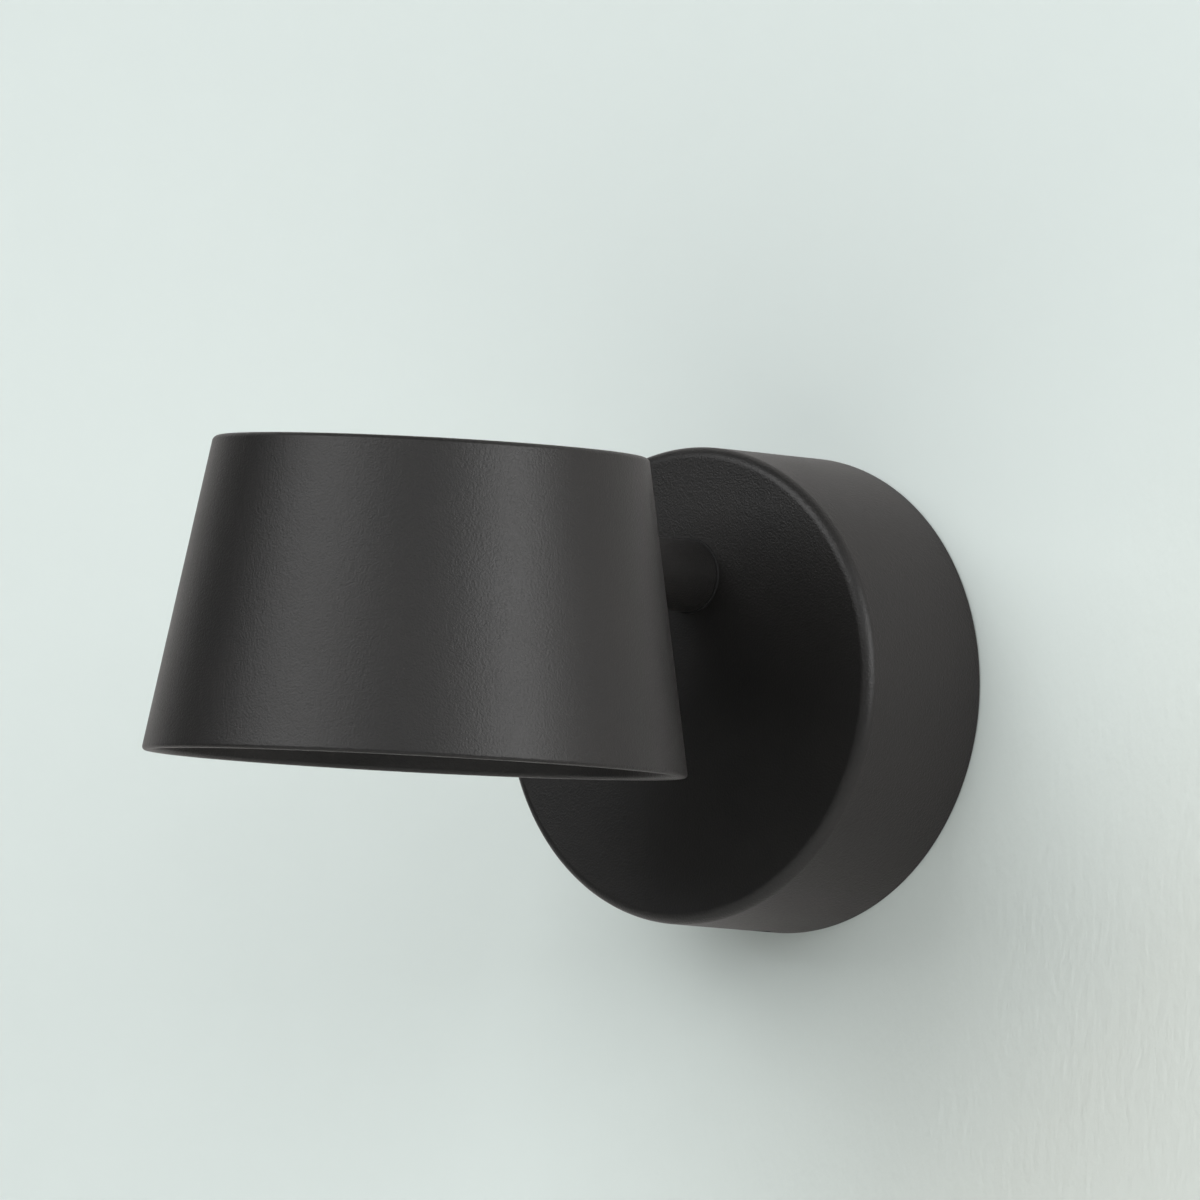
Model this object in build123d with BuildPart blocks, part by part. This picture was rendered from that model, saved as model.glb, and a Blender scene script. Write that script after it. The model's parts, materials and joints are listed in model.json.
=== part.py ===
"""Pivoting spotlight wall light: a conical shade on a short arm that swivels in a round canopy.

Millimetres. The origin is the centre of the canopy's back on the wall plane (y = 0), +Z is up and
the light stands out of the wall towards -Y. A distance from the wall is called a reach.
"""
from math import cos, radians, sin, sqrt
import os

from build123d import *

os.makedirs("parts", exist_ok=True)

# ---- driving dimensions --------------------------------------------------------------------------
# canopy: a deep die-cast cup that hides the wall plate and the driver
canopy_radius = 50.0
canopy_depth = 36.4
canopy_wall = 2.5
canopy_face = 3.0
canopy_round = 2.5

# arm and its swivel
arm_height = 22.8
arm_show = 36.0
arm_radius = 7.5
spigot_radius = 6.0
arm_bore_radius = 3.5
flat_half_width = 5.0
flat_run_out = 0.3
bearing_length = 9.0
bush_flange = 0.5
bush_flange_lap = 0.4
bush_wall = 1.0
boss_wall = 3.0
swivel_washer_thickness = 1.0
wave_washer_wire = 0.5
wave_washer_lift = 1.2
wave_washer_edge = 0.6
wave_washer_waves = 3
steps_per_wave = 12
stop_disc_thickness = 2.0
stop_disc_radius = 10.5
stop_tab_radius = 15.3
stop_tab_half_angle = 7.0
stop_pin_radius = 1.5
stop_pin_pitch = 13.5
stop_pin_wall = 2.0
stop_pin_overlap = 0.5
stop_pin_chamfer = 0.3
nut_height = 5.0
nut_across_flats = 18.0
nut_corner_share = 1.06
tail_length = 2.0
saddle_radius = 10.0
saddle_height = 2.5
tooth_washer_thickness = 0.8
tooth_size = 1.2
tooth_count = 12
lead_bush_flange = 0.8
lead_bush_collar = 4.0
lead_bush_lap = 1.5

# shade: a truncated cone with a closed top
shade_rise = 21.2
shade_height = 65.5
shade_top_radius = 45.0
shade_mouth_radius = 56.4
shade_wall = 2.2
shade_top = 2.6
shade_top_round = 1.2
shade_rim_round = 0.9

# light engine hung under the shade's top
engine_drop = 28.0
sink_radius = 36.0
sink_base = 4.0
sink_core_radius = 13.0
fin_count = 24
fin_thickness = 1.4
fin_inset = 0.25
fin_headroom = 3.5
lead_slot_width = 15.0
post_count = 3
post_radius = 3.5
post_pitch = 28.0
post_taper = 1.0
post_hole_depth = 12.0
post_clear = 1.5
board_radius = 22.0
board_thickness = 1.6
emitter_radius = 9.0
emitter_thickness = 0.8
emitter_round = 0.4
connector_inset = 1.6
connector_length = 3.6
connector_width = 7.0
connector_height = 1.9
reflector_throat_radius = 11.0
reflector_drop = 17.0
reflector_wall = 1.4
reflector_rim = 3.0
reflector_post_pitch = 31.0
reflector_post_wall = 1.8
reflector_screw_drop = 6.0
diffuser_thickness = 2.0
diffuser_inset = 0.5
ring_wall = 1.6
ring_lip = 1.4
ring_lip_width = 3.5
ring_height = 1.6
ring_gap = 0.8
ring_bead = 0.8

# wall plate, pressed from steel sheet
plate_thickness = 1.5
plate_inset = 7.5
plate_bend_radius = 1.5
tab_width = 12.0
tab_length = 11.0
tab_clearance = 0.5
plate_screw_radius = 1.45
wall_slot_inset = 10.0
wall_slot_length = 12.0
wall_slot_width = 4.6
window_width = 18.0
window_height = 30.0
window_round = 3.0
window_inset = 15.0
lock_reach = 7.5
lock_screw_radius = 1.9
lock_screw_length = 9.0
lock_screw_recess = 0.7
lock_screw_chamfer = 0.4
lock_key_radius = 1.0
lock_key_depth = 2.0
lug_collar_wall = 1.6
lug_collar_length = 1.6
hook_width = 5.0
hook_height = 1.8
hook_thickness = 2.0

# mains entry and terminals
cable_radius = 4.0
grommet_wall = 2.4
grommet_flange = 2.0
grommet_flange_thickness = 1.6
grommet_round = 0.7
block_width = 17.0
block_length = 37.0
block_base = 3.0
block_height = 11.5
block_inset = 18.0
block_round = 2.0
block_screw_inset = 2.5
pole_count = 3
pole_pitch = 8.0
pole_width = 6.4
pole_chamfer = 1.2
wire_hole_radius = 1.6
wire_hole_height = 5.5
wire_overlap = 1.0
clamp_pitch = 9.0
clamp_radius = 1.5
clamp_head_radius = 2.1
clamp_head_height = 2.0
clamp_slot = 0.7
clamp_sink = 3.0

# driver
driver_length = 52.0
driver_width = 26.0
driver_depth = 15.0
driver_inset = 11.5
driver_round = 2.5
driver_wall = 1.2
ear_length = 8.0
ear_round = 2.0
ear_neck = 4.0
ear_thickness = 2.0
ear_width = 8.0
driver_boss_height = 5.0
driver_boss_radius = 3.5
pcb_height = 5.0
pcb_thickness = 1.4
pcb_gap = 0.4
pcb_post = 2.2
core_width = 13.0
core_length = 14.0
core_height = 5.0
core_round = 1.0
core_offset = 4.0
winding_width = 9.0
winding_length = 18.0
winding_height = 3.6
capacitor_radius = 3.2
capacitor_height = 5.5
capacitor_offset = 4.0
capacitor_place = 14.0
capacitor_pitch = 8.0
filter_place = 18.0
mains_inset = 3.0
mains_pitch = 3.5
mains_depth = 4.0
output_inset = 13.0
output_depth = 5.5
earth_boss_inset = 20.5
earth_boss_drop = 23.5
earth_boss_height = 8.0
ring_terminal_thickness = 0.8
ring_terminal_radius = 3.6
ring_neck_width = 2.4
barrel_radius = 1.6
barrel_length = 5.0
barrel_gap = 1.0

# leads
core_radius = 0.9
sheath_radius = 1.6
lead_bend = 5.0
lamp_lead_bend = 4.0
loop_gap = 7.0
output_rise = 17.0
lead_run = 1.0

# screws
sink_screw_radius = 1.9
sink_screw_grip = 8.0
board_screw_radius = 1.2
board_screw_inset = 3.0
board_screw_grip = 3.0
reflector_screw_radius = 1.45
reflector_screw_length = 9.0
driver_screw_radius = 1.45
earth_screw_radius = 1.9
head_share = 1.9
head_height_share = 1.3
head_taper = 12.0
slot_length_share = 2.2
slot_width_share = 0.45
slot_depth_share = 0.6
screw_tip_gap = 0.5

# fits and clearances
running_fit = 0.05
pin_fit = 0.02
seat_gap = 0.05
saddle_gap = 0.08
screw_fit = 0.08
face_gap = 0.1
slide_gap = 0.3
lead_gap = 0.1
hole_gap = 0.15
tool_gap = 1.5

# ---- sizes that follow ---------------------------------------------------------------------------
canopy_bore_radius = canopy_radius - canopy_wall
face_inside = canopy_depth - canopy_face

boss_end = canopy_depth - bearing_length
bush_radius = spigot_radius + running_fit + bush_wall
boss_radius = bush_radius + boss_wall
shoulder_reach = canopy_depth + bush_flange + face_gap
washer_reach = boss_end - face_gap - swivel_washer_thickness
stop_disc_reach = washer_reach - wave_washer_lift - wave_washer_wire - stop_disc_thickness
nut_reach = stop_disc_reach - nut_height
tail_reach = nut_reach - tail_length
stop_pin_end = stop_disc_reach - stop_pin_overlap

shade_top_height = arm_height + shade_rise
shade_mouth_height = shade_top_height - shade_height
shade_slope = (shade_mouth_radius - shade_top_radius) / shade_height
shade_reach = canopy_depth + arm_show + shade_top_radius + shade_rise * shade_slope
shade_wall_across = shade_wall * sqrt(1 + shade_slope**2)
shade_ceiling = shade_top_height - shade_top

sink_underside = shade_ceiling - engine_drop - sink_base
sink_top = sink_underside + sink_base
fin_top = shade_ceiling - fin_headroom
board_underside = sink_underside - board_thickness
rim_thickness = reflector_wall
reflector_mouth_height = board_underside - reflector_drop
diffuser_underside = reflector_mouth_height - diffuser_thickness
ring_underside = diffuser_underside - ring_lip
bead_height = reflector_mouth_height + rim_thickness + face_gap
ring_top = bead_height + ring_height
ring_top_drop = shade_top_height - ring_top
ring_radius = shade_top_radius + ring_top_drop * shade_slope - shade_wall_across - ring_gap
ring_inner_radius = ring_radius - ring_wall
ring_lip_radius = ring_inner_radius - face_gap - ring_lip_width
reflector_rim_radius = ring_inner_radius - face_gap
reflector_mouth_radius = reflector_rim_radius - reflector_rim

plate_radius = canopy_bore_radius - plate_inset
wall_screw_spacing = 2 * (plate_radius - wall_slot_inset)
window_offset = plate_radius - window_inset
block_offset = plate_radius - block_inset

driver_height = -(canopy_bore_radius - driver_inset - driver_width / 2)
driver_inner = face_inside - driver_depth
driver_boss_end = face_inside - driver_boss_height
ear_pitch = driver_length + ear_length
earth_seat = face_inside - earth_boss_height

canopy_axis = Axis((0, 0, 0), (0, -1, 0))
arm_axis = Axis((0, 0, arm_height), (0, -1, 0))
shade_axis = Axis((0, -shade_reach, 0), (0, 0, 1))


# ---- planes --------------------------------------------------------------------------------------
def wall_plane(reach):
    """Parallel to the wall, facing out: local x is +X, local y is +Z."""
    return Plane.XZ.offset(reach)


def back_plane(reach):
    """Parallel to the wall, facing it: local x is +X, local y is -Z."""
    return Plane(origin=(0, -reach, 0), x_dir=(1, 0, 0), z_dir=(0, 1, 0))


def mirrored(spots):
    """The same places on a plane that faces the other way."""
    return [(x, -y) for x, y in spots]


def arm_plane(reach):
    """The same, centred on the arm."""
    return Plane(origin=(0, -reach, arm_height), x_dir=(1, 0, 0), z_dir=(0, -1, 0))


def shade_plane(height):
    """Level, centred on the shade's axis, facing up."""
    return Plane(origin=(0, -shade_reach, height), x_dir=(1, 0, 0), z_dir=(0, 0, 1))


def profile_plane(height=0.0):
    """A half section along a horizontal axis at this height: local x is radius, local y is reach."""
    return Plane(origin=(0, 0, height), x_dir=(1, 0, 0), z_dir=(0, 0, -1))


shade_section = Plane(origin=(0, -shade_reach, 0), x_dir=(1, 0, 0), z_dir=(0, -1, 0))


def shade_radius(height, inset=0.0):
    """Radius of the shade's cone at a height, moved inwards square to the axis."""
    return shade_top_radius + (shade_top_height - height) * shade_slope - inset


def wall_reach(height, inset=0.0):
    """Reach of the cone's back, where the arm meets it."""
    return shade_reach - shade_radius(height, inset)


def save(part, label):
    """Names a finished piece and writes its file."""
    part.label = label
    export_step(part, f"parts/{label}.step")


# ---- small hardware ------------------------------------------------------------------------------
def pan_screws(seat, spots, radius, length):
    """Cross-slotted pan-head screws: heads stand on the seat plane and shanks run back from it."""
    head_radius = head_share * radius
    head_height = head_height_share * radius
    with BuildPart() as screws:
        with BuildSketch(seat):
            with Locations(*spots):
                Circle(head_radius)
        extrude(amount=head_height, taper=head_taper)
        with BuildSketch(seat):
            with Locations(*spots):
                Circle(radius)
        extrude(amount=-length)
        with BuildSketch(seat.offset(head_height)):
            with Locations(*spots):
                Rectangle(slot_length_share * radius, slot_width_share * radius)
                Rectangle(slot_width_share * radius, slot_length_share * radius)
        extrude(amount=-slot_depth_share * head_height, mode=Mode.SUBTRACT)
    return screws.part


def hex_nut(base, height, across_flats, bore):
    """A hexagon nut with its outer corners chamfered."""
    with BuildPart() as nut:
        with BuildSketch(base):
            RegularPolygon(across_flats / 2, 6, major_radius=False)
        extrude(amount=height)
        with BuildSketch(base):
            Circle(across_flats / 2 * nut_corner_share)
        extrude(amount=height, mode=Mode.INTERSECT)
        with BuildSketch(base):
            Circle(bore)
        extrude(amount=height, mode=Mode.SUBTRACT)
    return nut.part


def flat_ring(base, thickness, outer, bore):
    """A plain washer or spacer."""
    with BuildPart() as ring:
        with BuildSketch(base):
            Circle(outer)
            Circle(bore, mode=Mode.SUBTRACT)
        extrude(amount=thickness)
    return ring.part


def lead(route, radius, bend):
    """A round lead along straight runs joined by tangent arcs."""
    with BuildPart() as wire:
        with BuildLine() as path:
            FilletPolyline(*route, radius=bend)
        start = path.line @ 0
        heading = path.line % 0
        with BuildSketch(Plane(origin=start, z_dir=heading)):
            Circle(radius)
        sweep(path=path.line)
    return wire.part


# ---- canopy --------------------------------------------------------------------------------------
driver_boss_spots = [(-ear_pitch / 2, driver_height), (ear_pitch / 2, driver_height)]
earth_boss_spot = (-(canopy_bore_radius - earth_boss_inset), canopy_bore_radius - earth_boss_drop)
pin_spot = (0, stop_pin_pitch)
lock_hole_radius = lock_screw_radius + slide_gap

with BuildPart() as canopy:
    with BuildSketch(profile_plane()):
        with BuildLine():
            Polyline(
                (0, canopy_depth), (canopy_radius, canopy_depth), (canopy_radius, 0),
                (canopy_bore_radius, 0), (canopy_bore_radius, face_inside), (0, face_inside), close=True,
            )
        make_face()
    revolve(axis=canopy_axis)
    front_edge = canopy.edges().filter_by(GeomType.CIRCLE).group_by(Axis.Y)[0]
    fillet(front_edge, canopy_round)
    # the swivel's boss, with a small lobe that holds the stop pin
    with BuildSketch(arm_plane(face_inside)):
        Circle(boss_radius)
        with Locations(pin_spot):
            Circle(stop_pin_radius + stop_pin_wall)
    extrude(amount=-(face_inside - boss_end))
    with BuildSketch(wall_plane(face_inside)):
        with Locations(*driver_boss_spots):
            Circle(driver_boss_radius)
    extrude(amount=-driver_boss_height)
    with BuildSketch(wall_plane(face_inside)):
        with Locations(earth_boss_spot):
            Circle(driver_boss_radius)
    extrude(amount=-earth_boss_height)
    # bearing bore, pin hole, blind screw holes
    with BuildSketch(arm_plane(canopy_depth)):
        Circle(bush_radius + pin_fit)
    extrude(amount=-bearing_length, mode=Mode.SUBTRACT)
    with BuildSketch(arm_plane(boss_end)):
        with Locations(pin_spot):
            Circle(stop_pin_radius + pin_fit)
    extrude(amount=bearing_length - canopy_face, mode=Mode.SUBTRACT)
    with BuildSketch(wall_plane(driver_boss_end)):
        with Locations(*driver_boss_spots):
            Circle(driver_screw_radius + screw_fit)
    extrude(amount=driver_boss_height, mode=Mode.SUBTRACT)
    with BuildSketch(wall_plane(face_inside - earth_boss_height)):
        with Locations(earth_boss_spot):
            Circle(earth_screw_radius + screw_fit)
    extrude(amount=earth_boss_height, mode=Mode.SUBTRACT)
    # hole for the lock screw at the bottom
    with BuildSketch(Plane(origin=(0, -lock_reach, -canopy_radius), x_dir=(1, 0, 0), z_dir=(0, 0, 1))):
        Circle(lock_hole_radius)
    extrude(amount=2 * canopy_wall, mode=Mode.SUBTRACT)
    # nib at the top that hooks into the wall plate's tab
    nib_root = canopy_radius - canopy_wall / 2
    with BuildSketch(Plane(origin=(0, -lock_reach, nib_root), x_dir=(1, 0, 0), z_dir=(0, 0, -1))):
        Rectangle(hook_width, hook_thickness)
    extrude(amount=canopy_wall / 2 + hook_height)
save(canopy.part, "canopy")

# ---- swivel --------------------------------------------------------------------------------------
with BuildPart() as swivel_bush:
    with BuildSketch(arm_plane(boss_end)):
        Circle(bush_radius)
    extrude(amount=bearing_length)
    with BuildSketch(arm_plane(canopy_depth)):
        Circle(arm_radius + bush_flange_lap)
    extrude(amount=bush_flange)
    with BuildSketch(arm_plane(boss_end)):
        Circle(spigot_radius + running_fit)
    extrude(amount=bearing_length + bush_flange, mode=Mode.SUBTRACT)
save(swivel_bush.part, "swivel_bush")

pin_seat_depth = bearing_length - canopy_face
with BuildPart() as stop_pin:
    with BuildSketch(arm_plane(stop_pin_end)):
        with Locations(pin_spot):
            Circle(stop_pin_radius)
    extrude(amount=boss_end - stop_pin_end + pin_seat_depth)
    chamfer(stop_pin.edges().filter_by(GeomType.CIRCLE).group_by(Axis.Y)[-1], stop_pin_chamfer)
save(stop_pin.part, "stop_pin")

save(
    flat_ring(arm_plane(washer_reach), swivel_washer_thickness, boss_radius, spigot_radius + lead_gap),
    "friction_washer",
)


def wave_height(turn):
    """Lift of the wave washer's middle line at a turn from 0 to 1."""
    return wave_washer_lift / 2 * cos(radians(360 * wave_washer_waves * turn))


wave_mean_radius = (boss_radius + spigot_radius) / 2
wave_band = boss_radius - spigot_radius - 2 * wave_washer_edge
wave_middle = stop_disc_reach + stop_disc_thickness + (wave_washer_lift + wave_washer_wire) / 2
wave_steps = steps_per_wave * wave_washer_waves


def wave_section(step):
    """Flat section of the washer's strip at one step round its circle."""
    turn = step / wave_steps
    angle = radians(360 * turn)
    centre = (
        wave_mean_radius * cos(angle),
        -(wave_middle + wave_height(turn)),
        arm_height + wave_mean_radius * sin(angle),
    )
    return Plane(origin=centre, x_dir=(cos(angle), 0, sin(angle)), z_dir=(-sin(angle), 0, cos(angle)))


# one crest to the next is lofted, then repeated round the arm
with BuildPart() as wave_washer:
    for step in range(steps_per_wave + 1):
        with BuildSketch(wave_section(step)):
            Rectangle(wave_band, wave_washer_wire)
    loft(ruled=True)
    one_wave = wave_washer.part
    for wave in range(1, wave_washer_waves):
        add(one_wave.rotate(arm_axis, -360 * wave / wave_washer_waves))
save(wave_washer.part, "wave_washer")

flats_end = stop_disc_reach + stop_disc_thickness + flat_run_out
with BuildPart() as stop_disc:
    with BuildSketch(arm_plane(stop_disc_reach)):
        Circle(stop_disc_radius)
        with BuildLine():
            tab_start = -90 - stop_tab_half_angle
            PolarLine((0, 0), stop_tab_radius, tab_start)
            tab_arc = CenterArc((0, 0), stop_tab_radius, tab_start, 2 * stop_tab_half_angle)
            Line(tab_arc @ 1, (0, 0))
        make_face()
        with BuildSketch(mode=Mode.SUBTRACT):
            Circle(spigot_radius + screw_fit)
            Rectangle(2 * (flat_half_width + screw_fit), 3 * spigot_radius, mode=Mode.INTERSECT)
    extrude(amount=stop_disc_thickness)
save(stop_disc.part, "stop_disc")

save(hex_nut(arm_plane(nut_reach), nut_height, nut_across_flats, spigot_radius + screw_fit), "arm_nut")

# ---- arm -----------------------------------------------------------------------------------------
saddle_flat = wall_reach(arm_height + saddle_radius, shade_wall_across) + saddle_height
head_nut_reach = saddle_flat + tooth_washer_thickness
spigot_end = head_nut_reach + nut_height + tool_gap
drop_reach = spigot_end + lead_bush_flange + lamp_lead_bend + lead_run

with BuildPart() as arm:
    with BuildSketch(arm_plane(shoulder_reach)):
        Circle(arm_radius)
    extrude(amount=shade_reach - shade_top_radius - shoulder_reach)
    # the front end is cut to the cone, so that it beds on the shade
    with BuildSketch(shade_section):
        with BuildLine():
            Polyline(
                (0, shade_top_height), (shade_radius(shade_top_height, -seat_gap), shade_top_height),
                (shade_radius(shade_mouth_height, -seat_gap), shade_mouth_height),
                (0, shade_mouth_height), close=True,
            )
        make_face()
    revolve(axis=shade_axis, mode=Mode.SUBTRACT)
    with BuildSketch(arm_plane(tail_reach)):
        Circle(spigot_radius)
    extrude(amount=spigot_end - tail_reach)
    # two flats on the tail carry the stop disc round with the arm
    with BuildSketch(arm_plane(tail_reach)):
        with Locations((flat_half_width + spigot_radius, 0), (-flat_half_width - spigot_radius, 0)):
            Rectangle(2 * spigot_radius, 3 * spigot_radius)
    extrude(amount=flats_end - tail_reach, mode=Mode.SUBTRACT)
    with BuildSketch(arm_plane(tail_reach)):
        Circle(arm_bore_radius)
    extrude(amount=spigot_end - tail_reach, mode=Mode.SUBTRACT)
save(arm.part, "arm")

# ---- shade ---------------------------------------------------------------------------------------
post_angles = [30 + 360 * index / post_count for index in range(post_count)]
post_spots = [(post_pitch * cos(radians(a)), post_pitch * sin(radians(a))) for a in post_angles]
arm_hole_radius = spigot_radius + hole_gap

with BuildPart() as shade:
    with BuildSketch(shade_section):
        with BuildLine():
            Polyline(
                (0, shade_top_height), (shade_top_radius, shade_top_height),
                (shade_mouth_radius, shade_mouth_height),
                (shade_radius(shade_mouth_height, shade_wall_across), shade_mouth_height),
                (shade_radius(shade_ceiling, shade_wall_across), shade_ceiling),
                (0, shade_ceiling), close=True,
            )
        make_face()
    revolve(axis=shade_axis)
    fillet(shade.edges().filter_by(GeomType.CIRCLE).group_by(Axis.Z)[-1], shade_top_round)
    fillet(shade.edges().filter_by(GeomType.CIRCLE).group_by(Axis.Z)[0], shade_rim_round)
    with BuildSketch(shade_plane(shade_ceiling)):
        with Locations(*post_spots):
            Circle(post_radius)
    extrude(amount=-(shade_ceiling - sink_top), taper=-post_taper)
    with BuildSketch(shade_plane(sink_top)):
        with Locations(*post_spots):
            Circle(sink_screw_radius + screw_fit)
    extrude(amount=post_hole_depth, mode=Mode.SUBTRACT)
    with BuildSketch(arm_plane(shade_reach - shade_mouth_radius)):
        Circle(arm_hole_radius)
    extrude(amount=shade_mouth_radius - spigot_radius, mode=Mode.SUBTRACT)
save(shade.part, "shade")

# ---- clamp of the arm in the shade ---------------------------------------------------------------
with BuildPart() as saddle:
    with BuildSketch(arm_plane(saddle_flat)):
        Circle(saddle_radius)
    extrude(amount=-(saddle_flat - shade_reach + shade_mouth_radius))
    with BuildSketch(shade_section):
        with BuildLine():
            Polyline(
                (0, shade_ceiling),
                (shade_radius(shade_ceiling, shade_wall_across + saddle_gap), shade_ceiling),
                (shade_radius(shade_mouth_height, shade_wall_across + saddle_gap), shade_mouth_height),
                (0, shade_mouth_height), close=True,
            )
        make_face()
    revolve(axis=shade_axis, mode=Mode.INTERSECT)
    with BuildSketch(arm_plane(saddle_flat)):
        Circle(arm_hole_radius)
    extrude(amount=-(saddle_flat - shade_reach + shade_mouth_radius), mode=Mode.SUBTRACT)
save(saddle.part, "saddle_washer")

with BuildPart() as tooth_washer:
    with BuildSketch(arm_plane(saddle_flat)):
        Circle(nut_across_flats / 2)
        with PolarLocations((nut_across_flats - tooth_size) / 2, tooth_count):
            Rectangle(tooth_size, tooth_size, mode=Mode.SUBTRACT)
        Circle(arm_hole_radius, mode=Mode.SUBTRACT)
    extrude(amount=tooth_washer_thickness)
save(tooth_washer.part, "tooth_washer")

save(
    hex_nut(arm_plane(head_nut_reach), nut_height, nut_across_flats, spigot_radius + screw_fit),
    "head_nut",
)

# ---- light engine --------------------------------------------------------------------------------
board_screw_pitch = board_radius - board_screw_inset
board_screw_spots = [(-board_screw_pitch, 0), (board_screw_pitch, 0)]
reflector_angles = [360 * index / post_count for index in range(post_count)]
reflector_spots = [
    (reflector_post_pitch * cos(radians(a)), reflector_post_pitch * sin(radians(a)))
    for a in reflector_angles
]
nut_clear = saddle_radius + tool_gap
nut_slot_depth = sink_radius - (shade_reach - spigot_end) + tool_gap
lead_slot_depth = sink_radius - (shade_reach - drop_reach) + sheath_radius + lead_run

with BuildPart() as heat_sink:
    with BuildSketch(shade_plane(sink_underside)):
        Circle(sink_radius)
    extrude(amount=sink_base)
    with BuildSketch(shade_plane(sink_top)):
        Circle(sink_core_radius)
        with PolarLocations(0, fin_count, start_angle=180 / fin_count):
            with Locations((sink_radius / 2, 0)):
                Rectangle(sink_radius - 2 * fin_inset, fin_thickness)
    extrude(amount=fin_top - sink_top)
    # clear of the shade's posts, of the arm's nut and of the lead behind it
    with BuildSketch(shade_plane(sink_top)):
        with Locations(*post_spots):
            Circle(post_radius + post_clear)
    extrude(amount=fin_top - sink_top, mode=Mode.SUBTRACT)
    with BuildSketch(shade_plane(sink_underside)):
        with Locations((0, sink_radius)):
            Rectangle(lead_slot_width, 2 * lead_slot_depth)
    extrude(amount=fin_top - sink_underside, mode=Mode.SUBTRACT)
    with BuildSketch(shade_plane(sink_top)):
        with Locations((0, sink_radius)):
            Rectangle(2 * nut_clear, 2 * nut_slot_depth)
    extrude(amount=fin_top - sink_top, mode=Mode.SUBTRACT)
    with BuildSketch(shade_plane(sink_underside)):
        with Locations(*post_spots):
            Circle(sink_screw_radius + slide_gap)
    extrude(amount=sink_base, mode=Mode.SUBTRACT)
    with BuildSketch(shade_plane(sink_underside)):
        with Locations(*board_screw_spots):
            Circle(board_screw_radius + screw_fit)
    extrude(amount=sink_base, mode=Mode.SUBTRACT)
    with BuildSketch(shade_plane(sink_underside)):
        with Locations(*reflector_spots):
            Circle(reflector_screw_radius + screw_fit)
    extrude(amount=sink_base, mode=Mode.SUBTRACT)
save(heat_sink.part, "heat_sink")

underside = Plane(origin=(0, -shade_reach, sink_underside), x_dir=(1, 0, 0), z_dir=(0, 0, -1))

save(
    pan_screws(underside, mirrored(post_spots), sink_screw_radius, sink_base + sink_screw_grip),
    "heat_sink_screws",
)

with BuildPart() as led_board:
    with BuildSketch(underside):
        Circle(board_radius)
        with Locations(*board_screw_spots):
            Circle(board_screw_radius + slide_gap, mode=Mode.SUBTRACT)
    extrude(amount=board_thickness)
save(led_board.part, "led_board")

board_face = underside.offset(board_thickness)
save(
    pan_screws(board_face, board_screw_spots, board_screw_radius, board_thickness + board_screw_grip),
    "board_screws",
)

with BuildPart() as led_emitter:
    with BuildSketch(board_face):
        Circle(emitter_radius)
    extrude(amount=emitter_thickness)
    fillet(led_emitter.edges().filter_by(GeomType.CIRCLE).group_by(Axis.Z)[0], emitter_round)
save(led_emitter.part, "led_emitter")

reflector_post_radius = head_share * reflector_screw_radius + reflector_post_wall
head_recess = reflector_post_radius - reflector_wall
reflector_screw_seat = sink_underside - reflector_screw_drop
with BuildPart() as reflector:
    with BuildSketch(shade_plane(reflector_mouth_height + rim_thickness)):
        with Locations(*reflector_spots):
            Circle(reflector_post_radius)
    extrude(amount=sink_underside - reflector_mouth_height - rim_thickness)
    with BuildSketch(shade_section):
        with BuildLine():
            Polyline(
                (reflector_throat_radius, board_underside),
                (reflector_throat_radius + reflector_wall, board_underside),
                (reflector_mouth_radius + reflector_wall, reflector_mouth_height + rim_thickness),
                (reflector_rim_radius, reflector_mouth_height + rim_thickness),
                (reflector_rim_radius, reflector_mouth_height),
                (reflector_mouth_radius, reflector_mouth_height), close=True,
            )
        make_face()
    revolve(axis=shade_axis)
    # nothing of the posts shows inside the cone
    with BuildSketch(shade_section):
        with BuildLine():
            Polyline(
                (0, board_underside), (reflector_throat_radius, board_underside),
                (reflector_mouth_radius, reflector_mouth_height), (0, reflector_mouth_height), close=True,
            )
        make_face()
    revolve(axis=shade_axis, mode=Mode.SUBTRACT)
    with BuildSketch(shade_plane(reflector_screw_seat)):
        with Locations(*reflector_spots):
            Circle(head_recess)
    extrude(amount=-(reflector_screw_seat - reflector_mouth_height), mode=Mode.SUBTRACT)
    with BuildSketch(shade_plane(reflector_screw_seat)):
        with Locations(*reflector_spots):
            Circle(reflector_screw_radius + slide_gap)
    extrude(amount=sink_underside - reflector_screw_seat, mode=Mode.SUBTRACT)
save(reflector.part, "reflector")

reflector_seat = Plane(origin=(0, -shade_reach, reflector_screw_seat), x_dir=(1, 0, 0), z_dir=(0, 0, -1))
save(
    pan_screws(reflector_seat, mirrored(reflector_spots), reflector_screw_radius, reflector_screw_length),
    "reflector_screws",
)

with BuildPart() as diffuser:
    with BuildSketch(shade_plane(diffuser_underside)):
        Circle(reflector_rim_radius - diffuser_inset)
    extrude(amount=diffuser_thickness)
save(diffuser.part, "diffuser")

with BuildPart() as retaining_ring:
    with BuildSketch(shade_section):
        with BuildLine():
            Polyline(
                (ring_lip_radius, ring_underside),
                (ring_radius, ring_underside),
                (ring_radius, ring_top),
                (ring_inner_radius, ring_top),
                (ring_inner_radius - ring_bead, ring_top - ring_bead),
                (ring_inner_radius - ring_bead, bead_height),
                (ring_inner_radius, bead_height),
                (ring_inner_radius, diffuser_underside),
                (ring_lip_radius, diffuser_underside), close=True,
            )
        make_face()
    revolve(axis=shade_axis)
save(retaining_ring.part, "retaining_ring")

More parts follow.
